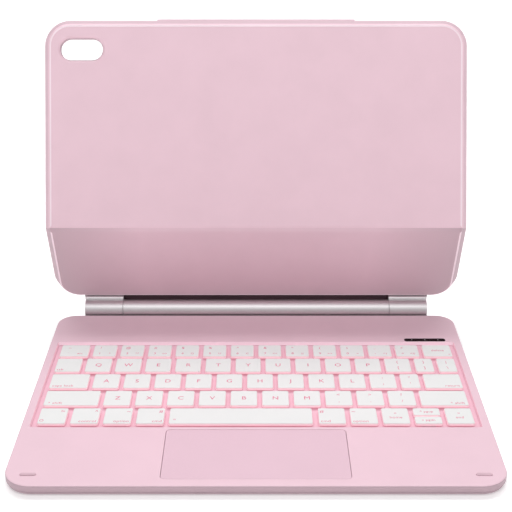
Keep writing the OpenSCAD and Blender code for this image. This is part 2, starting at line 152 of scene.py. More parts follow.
class Nodes:
    """Adds shader nodes and links them."""

    def __init__(self, name, colour):
        self.material = bpy.data.materials.new(name)
        self.material.use_nodes = True
        self.material.diffuse_color = (*colour, 1)
        self.tree = self.material.node_tree
        self.shader = self.tree.nodes["Principled BSDF"]
        self.place = self.add("ShaderNodeTexCoord").outputs["Object"]

    def add(self, kind, **values):
        """A new node of a kind, with its properties set."""
        node = self.tree.nodes.new(kind)
        for key, value in values.items():
            setattr(node, key, value)
        return node

    def link(self, output, target):
        self.tree.links.new(output, target)

    def put(self, name, value):
        """Sets one of the surface's values."""
        self.shader.inputs[name].default_value = value

    def noise(self, scale, detail=3.0):
        """Noise whose features are about 1/scale metres across."""
        node = self.add("ShaderNodeTexNoise")
        node.inputs["Scale"].default_value = scale
        node.inputs["Detail"].default_value = detail
        node.inputs["Roughness"].default_value = 0.55
        self.link(self.place, node.inputs["Vector"])
        return node.outputs["Fac"]

    def axis(self, name):
        """The piece's own X, Y or Z, in metres."""
        node = self.add("ShaderNodeSeparateXYZ")
        self.link(self.place, node.inputs["Vector"])
        return node.outputs[name]

    def compute(self, operation, source, value=0.0):
        """One step of arithmetic on a source."""
        node = self.add("ShaderNodeMath", operation=operation)
        self.link(source, node.inputs[0])
        node.inputs[1].default_value = value
        return node.outputs["Value"]

    def map_range(self, source, *ends):
        """Maps a source's range (two ends) onto another (two more), and holds it at the ends."""
        node = self.add("ShaderNodeMapRange")
        for socket, value in zip(("From Min", "From Max", "To Min", "To Max"), ends):
            node.inputs[socket].default_value = value
        self.link(source, node.inputs["Value"])
        return node.outputs["Result"]

    def ramp(self, source, low, high):
        """Blends two colours over the middle of a noise's range."""
        node = self.add("ShaderNodeValToRGB")
        for element, position, colour in zip(node.color_ramp.elements, (0.35, 0.65), (low, high)):
            element.position = position
            element.color = (*colour, 1)
        self.link(source, node.inputs["Fac"])
        return node.outputs["Color"]

    def spread(self, source, low, high):
        """Makes a noise run from low to high."""
        return self.map_range(source, 0.3, 0.7, low, high)

    def blend_base(self, share, colour):
        """Mixes a second colour into the base colour, by the share from a socket."""
        first = self.shader.inputs["Base Color"].links[0].from_socket
        mix = self.add("ShaderNodeMix", data_type="RGBA")
        mix.inputs["B"].default_value = (*colour, 1)
        self.link(share, mix.inputs["Factor"])
        self.link(first, mix.inputs["A"])
        self.link(mix.outputs["Result"], self.shader.inputs["Base Color"])

    def bump(self, source, depth_mm):
        """Raises the surface by the source, up to a depth."""
        node = self.add("ShaderNodeBump")
        node.inputs["Strength"].default_value = 1.0
        node.inputs["Distance"].default_value = depth_mm * MM
        self.link(source, node.inputs["Height"])
        self.link(node.outputs["Normal"], self.shader.inputs["Normal"])


def tint(colour, amount):
    """A colour made lighter or deeper."""
    return tuple(min(1.0, c * amount) for c in colour)


def plastic(name, colour, rough, grain_mm=0.35, depth=0.012, mottle=0.03, coat=0.0, sheen=0.0,
            specular=0.4):
    """Moulded or coated plastic: fine grain, faint blotches of tone and uneven gloss."""
    n = Nodes(name, colour)
    blotch = n.noise(45.0, 4.0)
    n.link(n.ramp(blotch, tint(colour, 1 - mottle), tint(colour, 1 + mottle)),
           n.shader.inputs["Base Color"])
    grain = n.noise(1.0 / (grain_mm * MM), 2.0)
    n.link(n.spread(grain, rough - 0.06, rough + 0.06), n.shader.inputs["Roughness"])
    n.bump(grain, depth)
    n.put("Specular IOR Level", specular)
    n.put("Coat Weight", coat)
    n.put("Coat Roughness", 0.25)
    n.put("Sheen Weight", sheen)
    n.put("Sheen Roughness", 0.45)
    return n


def moulded(*look, **extra):
    """The same, as a finished material."""
    return plastic(*look, **extra).material


def metallic(name, colour, rough, grain_mm=0.2, depth=0.004, stretch=None):
    """Blasted or brushed metal; stretch scales the noise along each axis."""
    n = Nodes(name, colour)
    if stretch:
        mapping = n.add("ShaderNodeMapping")
        mapping.inputs["Scale"].default_value = stretch
        n.link(n.place, mapping.inputs["Vector"])
        n.place = mapping.outputs["Vector"]
    grain = n.noise(1.0 / (grain_mm * MM), 3.0)
    n.link(n.ramp(grain, tint(colour, 0.93), tint(colour, 1.05)), n.shader.inputs["Base Color"])
    n.link(n.spread(grain, rough - 0.06, rough + 0.08), n.shader.inputs["Roughness"])
    n.put("Metallic", 1.0)
    n.bump(grain, depth)
    return n.material


PINK = (0.815, 0.58, 0.66)
PAD_PINK = (0.76, 0.535, 0.62)
SKIN_PINK = (0.85, 0.6, 0.682)
WELL_PINK = (0.722, 0.466, 0.548)
RIM_HIGHLIGHT_PINK = (0.97, 0.79, 0.86)
RUBBER_PINK = (0.66, 0.46, 0.525)
SKIRT_GLOW_PINK = (0.91, 0.662, 0.712)
LEGEND_PINK = (0.7, 0.13, 0.25)


def glowing(name, colour, rough, strength, glow):
    """Plastic with a glow: painted light on most pieces, and the indicator lamps' own light."""
    n = plastic(name, colour, rough)
    n.put("Emission Color", (*glow, 1))
    n.put("Emission Strength", strength)
    return n.material


def low_inner_painted_shade():
    """The lid's skin below the fold, deepened in tone as painted shade, and deepened more towards both
    ends as painted shade.
    """
    n = plastic("lid_low_inner_pink", tint(SKIN_PINK, 0.92), 0.5, 0.45, 0.016, 0.015, sheen=0.1)
    end_shade = n.map_range(n.compute("ABSOLUTE", n.axis("X")), 70 * MM, 122 * MM, 0.0, 1.0)
    n.blend_base(end_shade, tint(SKIN_PINK, 0.66))
    return n.material


deck_finish = moulded("deck_pink", PINK, 0.42, 0.28, 0.008, 0.012, coat=0.08)
# painted shade on the base's outer side walls
outer_wall_shade = moulded("side_pink", tint(PINK, 0.62), 0.46, 0.28, 0.008, 0.012)
# painted shade: the bottom shell, and the slider that shares it, are deepened in tone
cover_shade = moulded("cover_pink", tint(PINK, 0.55), 0.48, 0.3, 0.01, 0.015)
inner_finish = moulded("lid_inner_pink", SKIN_PINK, 0.5, 0.45, 0.016, 0.015, sheen=0.1)
# painted shade for the lid below the fold
low_inner_shade = low_inner_painted_shade()
# painted shade on the camera hole's wall
hole_wall_shade = moulded("lid_hole_pink", tint(SKIN_PINK, 0.62), 0.55, 0.45, 0.01, 0.015)
# painted highlight along the lid's raised rim
rim_highlight = moulded("lid_rim_pink", RIM_HIGHLIGHT_PINK, 0.42, 0.45, 0.008, 0.01, sheen=0.1)
outer_finish = moulded("lid_outer_pink", tint(SKIN_PINK, 0.88), 0.52, 0.45, 0.018, 0.015, sheen=0.12)
# painted shade along the lid's top bevel, deeper towards the top edge
top_bevel_shades = [
    moulded(f"lid_bevel_pink_{i + 1}", tint(SKIN_PINK, tone), 0.52, 0.45, 0.018, 0.015)
    for i, tone in enumerate((0.82, 0.76, 0.7))]
flap_finish = moulded("flap_pink", tint(SKIN_PINK, 0.97), 0.55, 0.5, 0.02, 0.02, sheen=0.2)
spine_finish = moulded("spine_pink", tint(SKIN_PINK, 0.93), 0.58, 0.6, 0.03, 0.03, sheen=0.2)
pad_finish = moulded("trackpad_pink", PAD_PINK, 0.3, 0.2, 0.003, 0.008, coat=0.15)
# the tray's pink is its own colour; its faint glow is painted light between the keys
tray_colour_and_glow = glowing("tray_pink", WELL_PINK, 0.45, 0.06, (0.95, 0.5, 0.57))
# painted light: the well's walls glow as if lit from under the keys
well_wall_glow = glowing("well_wall_painted_glow", tint(PINK, 1.08), 0.45, 0.24, (0.92, 0.95, 1.0))
well_side_glow = glowing("well_side_painted_glow", WELL_PINK, 0.45, 0.25, (1.0, 0.64, 0.7))
# the legends' pink is print; their faint glow is painted light
legend_print_and_glow = glowing("legend_pink", LEGEND_PINK, 0.5, 0.02, (1.0, 0.4, 0.5))
rubber_finish = moulded("pink_rubber", RUBBER_PINK, 0.72, 0.5, 0.03, 0.05, specular=0.25)
hinge_finish = metallic("hinge_metal", (0.7, 0.68, 0.69), 0.46, 0.16, 0.0003, (0.25, 1.0, 1.0))
# metal bracket, deepened as painted shade under the barrel
bracket_shade_metal = metallic("bracket_painted_shade_metal", (0.24, 0.2, 0.215), 0.5, 0.2, 0.002)
# painted shade for the spine's inner side
lining_shade = moulded("spine_lining", (0.15, 0.085, 0.105), 0.75, 0.6, 0.02, 0.08, specular=0.2)
steel_finish = metallic("steel", (0.56, 0.56, 0.58), 0.3, 0.5, 0.003, (0.05, 1.0, 1.0))
window_finish = moulded("black_window", (0.008, 0.004, 0.005), 0.22, 1.5, 0.001, 0.2, specular=0.06)
lamp_finish = glowing("lamp", (0.3, 0.28, 0.3), 0.3, 0.25, (1.0, 0.9, 0.95))
dome_finish = moulded("milky_rubber", (0.8, 0.78, 0.76), 0.55, 0.6, 0.01, 0.03)
lever_finish = moulded("lever_plastic", (0.78, 0.74, 0.75), 0.45, 0.5, 0.01, 0.02)
film_finish = moulded("membrane_film", (0.62, 0.65, 0.7), 0.3, 2.0, 0.004, 0.1, coat=0.4)
board_finish = moulded("solder_mask", (0.04, 0.2, 0.11), 0.32, 1.2, 0.02, 0.25, coat=0.5)
foil_finish = metallic("battery_foil", (0.62, 0.63, 0.65), 0.42, 2.5, 0.05)
fibre_finish = moulded("fibre_board", (0.6, 0.57, 0.53), 0.65, 1.0, 0.03, 0.1)


def finish(piece, material):
    """Gives a piece its material."""
    piece.data.materials.clear()
    piece.data.materials.append(material)


# ---- mesh building


class Shape:
    """A mesh made of loops of points, the bands between them and caps across them."""

    def __init__(self):
        self.points = []
        self.faces = []

    def loop(self, points):
        """Adds points in metres, and returns their numbers."""
        start = len(self.points)
        self.points.extend(points)
        return list(range(start, len(self.points)))

    def band(self, a, b):
        """Joins two loops with a row of faces."""
        count = len(a)
        for i in range(count):
            j = (i + 1) % count
            self.faces.append((a[i], a[j], b[j], b[i]))

    def bands(self, loops):
        """Joins each loop with the next."""
        for a, b in zip(loops, loops[1:]):
            self.band(a, b)

    def solid(self, loops):
        """Joins the loops in turn and closes both ends."""
        self.bands(loops)
        self.cap(loops[0])
        self.cap(loops[-1])

    def cap(self, outer, holes=()):
        """Fills a flat loop, leaving the holes open."""
        rings = [outer, *holes]
        order = [i for ring in rings for i in ring]
        for tri in tessellate_polygon([[self.points[i] for i in ring] for ring in rings]):
            self.faces.append(tuple(order[i] for i in tri))

    def build(self, name, sharp=32.0):
        """Makes the object, smooth except at edges sharper than the angle."""
        mesh = bpy.data.meshes.new(name)
        mesh.from_pydata([tuple(p) for p in self.points], [], self.faces)
        bm = welded(mesh, 1e-7)
        bmesh.ops.recalc_face_normals(bm, faces=bm.faces)
        soften(bm, sharp)
        bm.to_mesh(mesh)
        bm.free()
        piece = new_object(name, mesh)
        weigh(piece)
        return piece


def welded(mesh, dist=1e-6):
    """An editable copy of a mesh, with coinciding points made one."""
    bm = bmesh.new()
    bm.from_mesh(mesh)
    bmesh.ops.remove_doubles(bm, verts=bm.verts, dist=dist)
    return bm


def new_object(name, data):
    """Puts data in the scene as an object."""
    thing = bpy.data.objects.new(name, data)
    bpy.context.collection.objects.link(thing)
    return thing


def soften(bm, sharp):
    """Smooths a mesh, apart from its edges sharper than the angle and its open ones."""
    limit = math.radians(sharp)
    for face in bm.faces:
        face.smooth = True
    for edge in bm.edges:
        edge.smooth = len(edge.link_faces) == 2 and edge.calc_face_angle(0) < limit


def weigh(piece):
    """Keeps large flat faces flat beside their rounded edges."""
    modifier = piece.modifiers.new("flat_faces", "WEIGHTED_NORMAL")
    modifier.keep_sharp = True


def baked(thing):
    """An object's final mesh."""
    graph = bpy.context.evaluated_depsgraph_get()
    return bpy.data.meshes.new_from_object(thing.evaluated_get(graph))


def settle(piece, sharp=32.0):
    """Applies a piece's modifiers, then smooths it again."""
    mesh = baked(piece)
    piece.modifiers.clear()
    piece.data = mesh
    bm = welded(mesh)
    soften(bm, sharp)
    bm.to_mesh(mesh)
    bm.free()
    weigh(piece)
    return piece


def cut(piece, *cutters):
    """Takes the cutters out of a piece, and deletes them."""
    piece.modifiers.clear()
    for cutter in cutters:
        cutter.modifiers.clear()
        modifier = piece.modifiers.new("cut", "BOOLEAN")
        modifier.operation = "DIFFERENCE"
        modifier.solver = "EXACT"
        modifier.object = cutter
    settle(piece)
    for cutter in cutters:
        bpy.data.objects.remove(cutter)


def closed(name, rings, sharp=32.0):
    """A piece made of rings of points, each joined to the next, and closed at both ends."""
    shape = Shape()
    shape.solid([shape.loop(ring) for ring in rings])
    return shape.build(name, sharp)


def arc(cx, cy, radius, start, end, steps):
    """Points on an arc, angles in degrees."""
    turns = [math.radians(start + (end - start) * i / steps) for i in range(steps + 1)]
    return [(cx + radius * math.cos(a), cy + radius * math.sin(a)) for a in turns]


def outline(x0, y0, x1, y1, r_low, r_high, inset=0.0, steps=8):
    """Rounded rectangle, with one radius at low y and another at high y."""
    low, high = max(r_low - inset, 0.02), max(r_high - inset, 0.02)
    x0, y0, x1, y1 = x0 + inset, y0 + inset, x1 - inset, y1 - inset
    return (arc(x0 + low, y0 + low, low, 180, 270, steps) + arc(x1 - low, y0 + low, low, 270, 360, steps)
            + arc(x1 - high, y1 - high, high, 0, 90, steps)
            + arc(x0 + high, y1 - high, high, 90, 180, steps))


def flat(points, z):
    """Places outline points (x, y) at the height z."""
    return [Vector((x, y, z)) * MM for x, y in points]


def edge_profile(z, radius, steps=4, up=True):
    """Insets and heights of a rounded edge that ends at height z."""
    sign = 1 if up else -1
    turns = [math.pi / 2 * i / steps for i in range(steps + 1)]
    return [(radius * (1 - math.cos(a)), z - sign * radius * (1 - math.sin(a))) for a in turns]


def slab(name, rect, z0, z1, radius_top, radius_bottom=0.0, corner=(1.0, 1.0), steps=8, place=flat,
         hem=0.0):
    """A rounded plate with rounded top and bottom edges; a hem is a flat band round its lower face."""
    profile = [(radius_bottom + hem, z0)] if hem else []
    if radius_bottom:
        profile += reversed(edge_profile(z0, radius_bottom, 3, up=False))
    else:
        profile.append((0.0, z0))
    profile += edge_profile(z1, radius_top, 4)
    return closed(name, [place(outline(*rect, *corner, inset, steps), z) for inset, z in profile])


def pill_rect(cx, cy, w, d):
    """A rectangle round a centre."""
    return (cx - w / 2, cy - d / 2, cx + w / 2, cy + d / 2)


def box_rect(low, high, grow=0.0):
    """A box's rectangle seen from above."""
    return (low[0] - grow, low[1] - grow, high[0] + grow, high[1] + grow)


def block(name, x0, x1, y0, y1, z0, z1):
    """A plain box to cut other pieces."""
    ring = [(x0, y0), (x1, y0), (x1, y1), (x0, y1)]
    return closed(name, [flat(ring, z0), flat(ring, z1)])


def across(points, x):
    """Places outline points (y, z) in the plane at x."""
    return [Vector((x, y, z)) * MM for y, z in points]


# ---- keyboard base

TRAY_LOW, TRAY_HIGH = node_box("key_tray")
TRAY_LIP = 1.4  # how far the tray reaches past the well under the deck
WELL = (TRAY_LOW[0] + TRAY_LIP, TRAY_LOW[1] + TRAY_LIP, TRAY_HIGH[0] - TRAY_LIP, TRAY_HIGH[1] - TRAY_LIP)
PAD_LOW, PAD_HIGH = node_box("trackpad")
PAD_GAP = 0.3  # round the trackpad
PAD_R = 2.2
WINDOW_LOW, WINDOW_HIGH = node_box("indicator_window")
BUMPER_LOW, BUMPER_HIGH = node_box("front_bumpers")
BUMPER_W, BUMPER_D = 8.1, BUMPER_HIGH[1] - BUMPER_LOW[1]
FOOT_HIGH = node_box("rubber_feet")[1]
FOOT_W, FOOT_D = 24.0, 7.0
FOOT_R = 3.49
MIDDLE_FOOT_R = 6.0
FOOT_GAP = 0.1  # round a foot in its pocket
FOOT_SINK = 0.3  # depth of the feet's pockets
DECK_UNDER = DECK_TOP - 1.2
DECK_RECT = (DECK_LOW[0], DECK_LOW[1], DECK_HIGH[0], DECK_HIGH[1])
PORT_LOW, PORT_HIGH = node_box("charging_port")
PORT = ((PORT_LOW[1] + PORT_HIGH[1]) / 2, (PORT_LOW[2] + PORT_HIGH[2]) / 2)
PORT_HALF = (4.7, 1.75)  # half the length and half the height of the socket's mouth
WALL = 1.5  # thickness of the base's side walls
WELL_RIM_END = 4.25  # the thin rim round the key well hangs down to this height
SLIDER_SLOT = (72.2, 78.2, SEAM - 1, 4.9)  # along the right wall, then from low to high
BRACKET_HALF = 80.0  # half the length of the hinge's bracket
BRACKET_Z = (3.3, 5.0)
CORNER_REACH = 5.0  # the base's rounded corners come no further in than this
SCREWS = [(side * x, y) for side in (-1, 1)
          for x, y in ((112, DECK_LOW[1] + 6.5), (60, DECK_LOW[1] + 5.4), (100, DECK_HIGH[1] - 5.5))]
SCREW_HEAD_R, SCREW_SHANK_R = 1.85, 0.95


def bumper_rects():
    """Where the two rubber pads near the front corners lie."""
    for side in (-1, 1):
        x = side * (BUMPER_HIGH[0] - BUMPER_W / 2)
        yield pill_rect(x, (BUMPER_LOW[1] + BUMPER_HIGH[1]) / 2, BUMPER_W, BUMPER_D)


def foot_rects():
    """Where the four long feet lie."""
    x, y = FOOT_HIGH[0] - FOOT_W / 2, FOOT_HIGH[1] - FOOT_D / 2
    for side in (-1, 1):
        for end in (-1, 1):
            yield pill_rect(side * x, end * y, FOOT_W, FOOT_D)


def port_cutter():
    """The socket's mouth, to cut out of the side wall."""
    mouth = pill_rect(*PORT, 2 * PORT_HALF[0], 2 * PORT_HALF[1])
    radius = PORT_HALF[1] - 0.01
    ring = outline(*mouth, radius, radius)
    return closed("port_cutter", [across(ring, DECK_HIGH[0] + x) for x in (-8, 4)])


def hole(shape, rect, corner, lip=0.25, depth=None, flange=None):
    """Loops of a hole through the deck. Returns its rims.

    With a depth it's a closed pocket; a flange is a thin edge that hangs down to that height.
    """
    profile = [(-lip, DECK_TOP), (-lip * 0.3, DECK_TOP - lip * 0.3), (0, DECK_TOP - lip)]
    if flange is not None:
        profile += [(0, flange), (-0.15, flange)]
    profile.append((-0.15 if flange else 0, DECK_UNDER if depth is None else DECK_TOP - depth))
    rims = [shape.loop(flat(outline(*rect, corner, corner, inset), z)) for inset, z in profile]
    shape.bands(rims)
    if depth is not None:
        shape.cap(rims[-1])
    return rims[0], rims[-1]


def tone_deck(deck):
    """Gives the well's walls a painted glow that stands in for the light under the keys, and the outer
    walls painted shade.
    """
    for extra in (well_wall_glow, outer_wall_shade, well_side_glow):
        deck.data.materials.append(extra)
    for face in deck.data.polygons:
        x, y, z = face.center / MM
        on_well = abs(x) < WELL[2] + 0.5 and WELL[1] - 0.5 < y < WELL[3] + 1.2 and z < DECK_TOP - 0.05
        at_edge = (abs(x) > DECK_HIGH[0] - CORNER_REACH or y < DECK_LOW[1] + CORNER_REACH
                   or y > DECK_HIGH[1] - CORNER_REACH)
        if on_well and y > WELL[3] - 1.2 and face.normal.y < -0.5:
            face.material_index = 1
        elif on_well and abs(x) > WELL[2] - 0.5 and abs(face.normal.x) > 0.5:
            face.material_index = 3
        elif at_edge and z < DECK_TOP - 0.3:
            face.material_index = 2


def make_deck():
    """The top shell, hollow under its plate, with the well, the trackpad's opening and pockets."""
    shape = Shape()
    profile = [(WALL, DECK_UNDER), (WALL, SEAM), (0.25, SEAM), (0.0, SEAM + 0.2),
               *edge_profile(DECK_TOP, 0.9, 5)]
    loops = [shape.loop(flat(outline(*DECK_RECT, FRONT_R, BACK_R, inset, 12), z)) for inset, z in profile]
    shape.bands(loops)
    through = [hole(shape, WELL, 1.5, 0.3, flange=WELL_RIM_END),
               hole(shape, box_rect(PAD_LOW, PAD_HIGH, PAD_GAP), PAD_R + PAD_GAP, 0.2)]
    pockets = [hole(shape, box_rect(WINDOW_LOW, WINDOW_HIGH, 0.06), 1.5, 0.1, 0.6)]
    for x0, y0, x1, y1 in bumper_rects():
        pocket = pill_rect((x0 + x1) / 2, (y0 + y1) / 2, BUMPER_W + 0.1, BUMPER_D + 0.1)
        pockets.append(hole(shape, pocket, BUMPER_D / 2, 0.15, 0.6))
    shape.cap(loops[-1], [rims[0] for rims in through + pockets])
    shape.cap(loops[0], [rims[1] for rims in through])
    deck = shape.build("deck_shell")
    notch = BRACKET_HALF + 0.3
    cut(deck, port_cutter(),
        block("slider_cutter", DECK_HIGH[0] - 3, DECK_HIGH[0] + 1, *SLIDER_SLOT),
        block("bracket_cutter", -notch, notch, DECK_HIGH[1] - 4, DECK_HIGH[1] + 1,
              SEAM - 1, BRACKET_Z[1] + 0.2))
    finish(deck, deck_finish)
    tone_deck(deck)
    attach(deck, "base")
    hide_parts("deck")


def round_cutter(name, x, y, radius, z0, z1, steps=24):
    """An upright cylinder to cut the cover."""
    ring = arc(x, y, radius, 0, 360 - 360 / steps, steps - 1)
    return closed(name, [flat(ring, z) for z in (z0, z1)])


def make_cover():
    """The lower shell, with a sloping lower edge, pockets for the feet and sunk screw holes."""
    low = COVER_LOW[2]
    profile = [(WALL, low + 1.0), (WALL, SEAM - 0.05), (0.6, SEAM - 0.05), (0.4, SEAM - 0.25),
               (0.5, low + 1.3), (0.9, low + 0.5), (1.5, low + 0.12), (2.2, low)]
    cover = closed("bottom_shell", [flat(outline(*DECK_RECT, FRONT_R, BACK_R, inset, 12), z)
                                    for inset, z in profile])
    cutters = [port_cutter()]
    for rect in foot_rects():
        pocket = box_rect(rect[:2], rect[2:], FOOT_GAP)
        cutters.append(slab("foot_cutter", pocket, -1, low + FOOT_SINK, 0.01,
                            corner=(FOOT_R + FOOT_GAP,) * 2))
    cutters.append(round_cutter("middle_cutter", 0, 0, MIDDLE_FOOT_R + FOOT_GAP, -1, low + FOOT_SINK, 48))
    for x, y in SCREWS:
        cutters.append(round_cutter("screw_cutter", x, y, SCREW_HEAD_R, -1, low + 0.5))
        cutters.append(round_cutter("shank_cutter", x, y, SCREW_SHANK_R, 0, low + 2))
    cut(cover, *cutters)
    finish(cover, cover_shade)
    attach(cover, "base")
    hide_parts("bottom_cover")


def make_feet_and_bumpers():
    """Four long feet and a round one underneath, and two pads near the front corners on top."""
    top = COVER_LOW[2] + FOOT_SINK
    feet = [slab(f"foot_{i + 1}", rect, 0.0, top, 0.05, 0.3, (FOOT_R, FOOT_R))
            for i, rect in enumerate(foot_rects())]
    middle = pill_rect(0, 0, 2 * MIDDLE_FOOT_R, 2 * MIDDLE_FOOT_R)
    feet.append(slab("foot_middle", middle, 0.0, top, 0.05, 0.3, (MIDDLE_FOOT_R - 0.01,) * 2, 12))
    for foot in feet:
        finish(foot, rubber_finish)
        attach(foot, "base")
        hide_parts("rubber_feet")
    for i, rect in enumerate(bumper_rects()):
        bumper = slab(f"bumper_{i + 1}", rect, DECK_TOP - 0.6, BUMPER_HIGH[2], 0.45,
                      corner=(BUMPER_D / 2 - 0.01,) * 2)
        finish(bumper, rubber_finish)
        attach(bumper, "base")
        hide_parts("front_bumpers")


LAMP_PITCH = 8.0
LAMP_R = 0.32


def make_window():
    """The glossy indicator pill with three small lamps behind it."""
    low, high = WINDOW_LOW, WINDOW_HIGH
    pill = slab("indicator_pill", box_rect(low, high), low[2], high[2], 0.15, corner=(1.49, 1.49))
    finish(pill, window_finish)
    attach(pill, "base")
    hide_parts("indicator_window")
    middle_x, middle_y = (low[0] + high[0]) / 2, (low[1] + high[1]) / 2
    for i in (-1, 0, 1):
        ring = arc(middle_x + i * LAMP_PITCH, middle_y, LAMP_R, 0, 330, 11)
        lamp = closed(f"indicator_lamp_{i + 2}", [flat(ring, high[2] + rise) for rise in (-0.1, 0.015)])
        finish(lamp, lamp_finish)
        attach(lamp, "base")


def make_trackpad():
    """The trackpad's plate, grown a little so that its gap looks as narrow as in the photo."""
    pad = slab("trackpad_plate", box_rect(PAD_LOW, PAD_HIGH, 0.12), PAD_LOW[2], PAD_HIGH[2], 0.2,
               corner=(PAD_R, PAD_R))
    finish(pad, pad_finish)
    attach(pad, "trackpad_plate")
    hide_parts("trackpad")


def side_box(shape, x0, x1, y0, y1, z0, z1, taper=0.0):
    """Adds a box to a shape; its face at x1 is smaller by the taper all round."""
    inner = shape.loop(across([(y0, z0), (y1, z0), (y1, z1), (y0, z1)], x0))
    y0, y1, z0, z1 = y0 + taper, y1 - taper, z0 + taper, z1 - taper
    outer = shape.loop(across([(y0, z0), (y1, z0), (y1, z1), (y0, z1)], x1))
    shape.solid([inner, outer])


def make_slider():
    """The power switch's slider: a flange behind the wall, and a knob with grip ribs."""
    low, high = node_box("power_switch")
    shape = Shape()
    face, middle, half_w = high[0], low[1] + 2.4, 1.6
    centre_z, half_h = 3.9, 0.7
    side_box(shape, low[0], low[0] + 0.8, low[1], high[1], low[2], high[2], 0.05)
    loops = []
    for x, inset in ((face - 2.4, 0.0), (face - 0.15, 0.0), (face - 0.04, 0.07), (face, 0.18)):
        ring = outline(middle - half_w, centre_z - half_h, middle + half_w, centre_z + half_h,
                       0.35, 0.35, inset, 4)
        loops.append(shape.loop(across(ring, x)))
    shape.solid(loops)
    for i in range(4):
        y = middle - 1.1 + i * 0.65
        side_box(shape, face - 0.1, face + 0.12, y, y + 0.3, centre_z - 0.45, centre_z + 0.45, 0.06)
    slider = shape.build("slider_knob")
    finish(slider, cover_shade)
    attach(slider, "switch_slider")
    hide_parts("power_switch")


# ---- keys

KEY_LOW, KEY_HIGH = node_box("space_bar")
KEY_R = 1.2
LETTER_H = 3.5  # heights of the legends' capitals
WORD_H = 2.2
MARK_H = 2.6
FONT_SIZE = 1.38  # the built-in font's size for capitals one unit high
LEGEND_T = 0.012  # half a legend's thickness
# plain marks in place of the number row's small symbols
ICONS = ("*", "**", "oo", "Q", "U", "C", "<<", "||", ">>", "<", "<)", "<))")


def islands(node):
    """The rectangles of a CAD node's separate solids, back row first, then left to right."""
    bm = welded(frame["nodes"][node].data)
    bm.verts.ensure_lookup_table()
    seen, boxes = set(), []
    for start in bm.verts:
        if start.index in seen:
            continue
        group, queue = [], [start]
        seen.add(start.index)
        while queue:
            v = queue.pop()
            group.append(v.co / MM)
            for e in v.link_edges:
                other = e.other_vert(v)
                if other.index not in seen:
                    seen.add(other.index)
                    queue.append(other)
        xs, ys = [p.x for p in group], [p.y for p in group]
        boxes.append((min(xs), min(ys), max(xs), max(ys)))
    bm.free()
    return sorted(boxes, key=lambda b: (-round(b[3]), round(b[0], 1)))


def key_white():
    """White plastic whose skirt has a painted pink glow, standing in for light from under the keys."""
    n = plastic("key_white", (0.79, 0.805, 0.797), 0.46, 0.22, 0.005, 0.006)
    skirt_low, skirt_high = (KEY_HIGH[2] - 0.6) * MM, (KEY_HIGH[2] - 0.04) * MM
    skirt = n.map_range(n.axis("Z"), skirt_low, skirt_high, 1.0, 0.0)
    n.blend_base(skirt, SKIRT_GLOW_PINK)
    n.link(n.compute("MULTIPLY", skirt, 0.3), n.shader.inputs["Emission Strength"])
    n.put("Emission Color", (0.96, 0.62, 0.67, 1))
    return n.material


keycap_white_and_glow = key_white()


def words(body, size, x, y, align="CENTER"):
    """A legend as a thin solid just proud of a key's top, with its capitals centred at y."""
    curve = bpy.data.curves.new("legend", "FONT")
    curve.body = body
    curve.size = size * FONT_SIZE * MM
    curve.extrude = LEGEND_T * MM
    curve.resolution_u = 3
    curve.space_character = 1.06
    curve.align_x = align
    curve.align_y = "BOTTOM_BASELINE"
    text = new_object("legend", curve)
    mesh = baked(text)
    mesh.transform(Matrix.Translation(Vector((x, y - size / 2, KEY_HIGH[2] + LEGEND_T / 3)) * MM))
    bpy.data.objects.remove(text)
    return mesh


def key_cap(name, rect, legends, body):
    """One hollow key cap with its legends, each given as (text, size, across, up).

    across and up are shares of the cap's width and depth, from its middle. An alignment may
    follow; otherwise the text is centred.
    """
    x0, y0, x1, y1 = rect
    low, top = KEY_LOW[2], KEY_HIGH[2]
    profile = [(0.9, top - 0.8), (0.9, low), (0.05, low), (0.0, low + 0.1), (0.12, top - 0.42),
               (0.17, top - 0.2), (0.3, top - 0.06), (0.52, top)]
    cap = closed(name, [flat(outline(*rect, KEY_R, KEY_R, inset, 5), z) for inset, z in profile], 50)
    cap.data.materials.append(keycap_white_and_glow)
    cap.data.materials.append(legend_print_and_glow)
    bm = bmesh.new()
    bm.from_mesh(cap.data)
    for text, size, across_share, up_share, *align in legends:
        first = len(bm.faces)
        mesh = words(text, size, (x0 + x1) / 2 + across_share * (x1 - x0),
                     (y0 + y1) / 2 + up_share * (y1 - y0), *align)
        bm.from_mesh(mesh)
        bpy.data.meshes.remove(mesh)
        bm.faces.ensure_lookup_table()
        for face in bm.faces[first:]:
            face.material_index = 1
            face.smooth = False
    bm.to_mesh(cap.data)
    bm.free()
    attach(cap, body)
    return cap


def number_legends():
    """Legends of the number row: its escape key, twelve number keys and delete."""
    def pair(above, below):
        return [(above, 2.3, -0.2, 0.24), (below, 2.2, -0.2, -0.24)]
    rows = [pair("~", "`") + [("esc", 1.8, 0.2, -0.24)]]
    for above, below, icon in zip("!@#$%^&*()_+", "1234567890-=", ICONS):
        rows.append(pair(above, below) + [(icon, 1.8, 0.22, -0.24)])
    rows.append([("delete", 2.1, 0.02, 0.02), ("o", 1.5, 0.4, -0.3)])
    return rows


def stacked(above, below):
    """Two marks, one above the other."""
    return [(above, MARK_H, 0, 0.22), (below, MARK_H, 0, -0.2)]


def corner_word(text, side):
    """A word in the lower corner on one side, -1 left or 1 right."""
    return [(text, WORD_H, side * 0.42, -0.34, "LEFT" if side < 0 else "RIGHT")]


def modifier(mark, word, side):
    """A mark in the upper corner and a word in the lower one."""
    return [(mark, 2.8, side * 0.36, 0.28),
            (word, WORD_H, side * 0.43, -0.34, "LEFT" if side < 0 else "RIGHT")]


def side_legends():
    """Legends of the keys at the sides of the letters, row by row."""
    return [corner_word("tab", -1), *map(stacked, "{}|", "[]\\"),
            corner_word("caps lock", -1), *map(stacked, ':"', ";'"), corner_word("return", 1),
            corner_word("^ shift", -1), *map(stacked, "<>?", ",./"), corner_word("^ shift", 1)]


